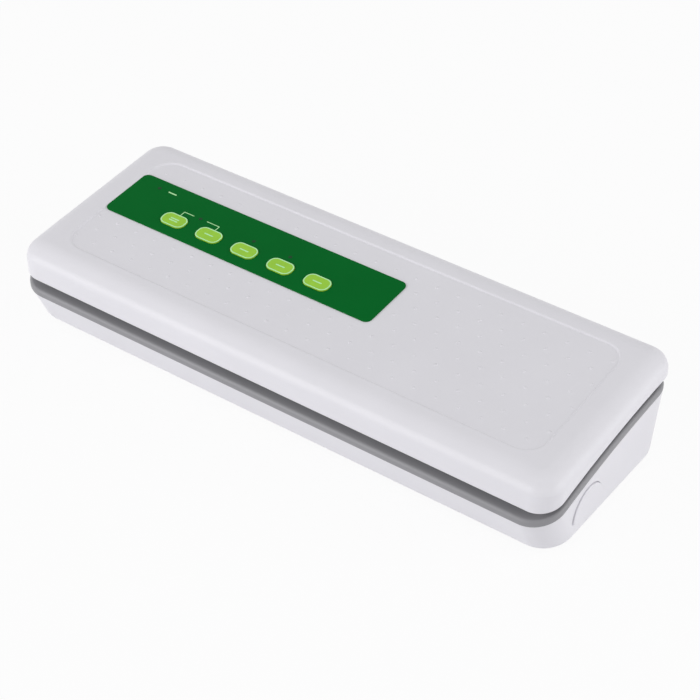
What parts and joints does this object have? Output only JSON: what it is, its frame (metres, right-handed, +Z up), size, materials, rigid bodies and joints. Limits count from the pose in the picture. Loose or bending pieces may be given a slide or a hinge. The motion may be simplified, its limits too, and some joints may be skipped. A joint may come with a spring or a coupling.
{
  "type": "vacuum sealer",
  "caption": "Long low bench-top vacuum sealer: hinged white lid with a green key panel, grey gasketed deck with heater and drip trough, side release buttons.",
  "frame": {"origin": "on the table under the middle of the machine's outline, feet at z = 0", "axes": "+X along the bar to the user's right, +Y to the hinge at the back, +Z up"},
  "size_m": [0.3736, 0.1336, 0.0662],
  "materials": {
    "white_plastic": "satin",
    "grey_plastic": "satin",
    "liner_plastic": "matte",
    "panel_green": "semi-gloss film",
    "key_green": "semi-gloss",
    "gasket_foam": "matte foam",
    "silicone": "matte",
    "foot_rubber": "matte",
    "heater_tape": "waxy woven tape",
    "heater_wire": "drawn strip",
    "heater_board": "matte phenolic",
    "steel": "drawn",
    "circuit_board": "solder mask",
    "black_plastic": "matte",
    "motor_can": "zinc plated",
    "transformer_iron": "varnished",
    "led_lens": "clear tinted",
    "hose_silicone": "translucent"
  },
  "bodies": {
    "base": {"base_housing": "white_plastic", "work_deck": "grey_plastic", "lower_gasket": "gasket_foam", "pump_diaphragm": "silicone", "rubber_feet": "foot_rubber", "heater_tape": "heater_tape", "heater_strip": "heater_wire", "heater_carrier": "heater_board", "base_screws": "steel", "return_spring_left": "steel", "return_spring_right": "steel", "main_board": "circuit_board", "relay": "black_plastic", "capacitor": "black_plastic", "pressure_switch": "black_plastic", "cord_gland": "black_plastic", "pump_crankcase": "black_plastic", "pump_head": "black_plastic", "intake_nozzle": "black_plastic", "pump_motor": "motor_can", "transformer": "transformer_iron", "vacuum_hose": "hose_silicone"},
    "lid": {"lid_shell": "white_plastic", "lid_liner": "liner_plastic", "upper_gasket": "gasket_foam", "sealing_strip": "silicone", "control_panel": "panel_green", "control_board": "circuit_board", "tact_switches": "black_plastic", "indicator_leds": "led_lens", "lid_screws": "steel", "hinge_pin_left": "steel", "hinge_pin_right": "steel"},
    "pump_rotor": {"motor_rotor": "steel"},
    "pump_rod": {"connecting_rod": "black_plastic"},
    "key_1": {"key_1": "key_green"},
    "key_2": {"key_2": "key_green"},
    "key_3": {"key_3": "key_green"},
    "key_4": {"key_4": "key_green"},
    "key_5": {"key_5": "key_green"},
    "release_left": {"release_button_left": "white_plastic", "latch_slider_left": "liner_plastic"},
    "release_right": {"release_button_right": "white_plastic", "latch_slider_right": "liner_plastic"}
  },
  "joints": [
    {"name": "lid_hinge", "type": "hinge", "parent": "base", "child": "lid", "pos_m": [0, 0.05835, 0.0526], "axis": [-1, 0, 0], "range_deg": [0, 75]},
    {"name": "left_release", "type": "slide", "parent": "base", "child": "release_left", "axis": [1, 0, 0], "range_m": [0, 0.0035], "stiffness_N_per_m": 600, "deforming": ["return_spring_left"]},
    {"name": "right_release", "type": "slide", "parent": "base", "child": "release_right", "axis": [-1, 0, 0], "range_m": [0, 0.0035], "stiffness_N_per_m": 600, "deforming": ["return_spring_right"]},
    {"name": "key_1_press", "type": "slide", "parent": "lid", "child": "key_1", "axis": [0, 0.0785, -0.9969], "range_m": [0, 0.0005], "stiffness_N_per_m": 2000},
    {"name": "key_2_press", "type": "slide", "parent": "lid", "child": "key_2", "axis": [0, 0.0785, -0.9969], "range_m": [0, 0.0005], "stiffness_N_per_m": 2000},
    {"name": "key_3_press", "type": "slide", "parent": "lid", "child": "key_3", "axis": [0, 0.0785, -0.9969], "range_m": [0, 0.0005], "stiffness_N_per_m": 2000},
    {"name": "key_4_press", "type": "slide", "parent": "lid", "child": "key_4", "axis": [0, 0.0785, -0.9969], "range_m": [0, 0.0005], "stiffness_N_per_m": 2000},
    {"name": "key_5_press", "type": "slide", "parent": "lid", "child": "key_5", "axis": [0, 0.0785, -0.9969], "range_m": [0, 0.0005], "stiffness_N_per_m": 2000},
    {"name": "rotor_spin", "type": "hinge", "parent": "base", "child": "pump_rotor", "pos_m": [0.114, 0.022, 0.0155], "axis": [1, 0, 0], "continuous": true},
    {"name": "rod_swing", "type": "hinge", "parent": "pump_rotor", "child": "pump_rod", "pos_m": [0.114, 0.0235, 0.0155], "axis": [1, 0, 0], "continuous": true}
  ],
  "couplings": [
    {"joint": "rod_swing", "follows": "rotor_spin", "ratio": -1}
  ]
}
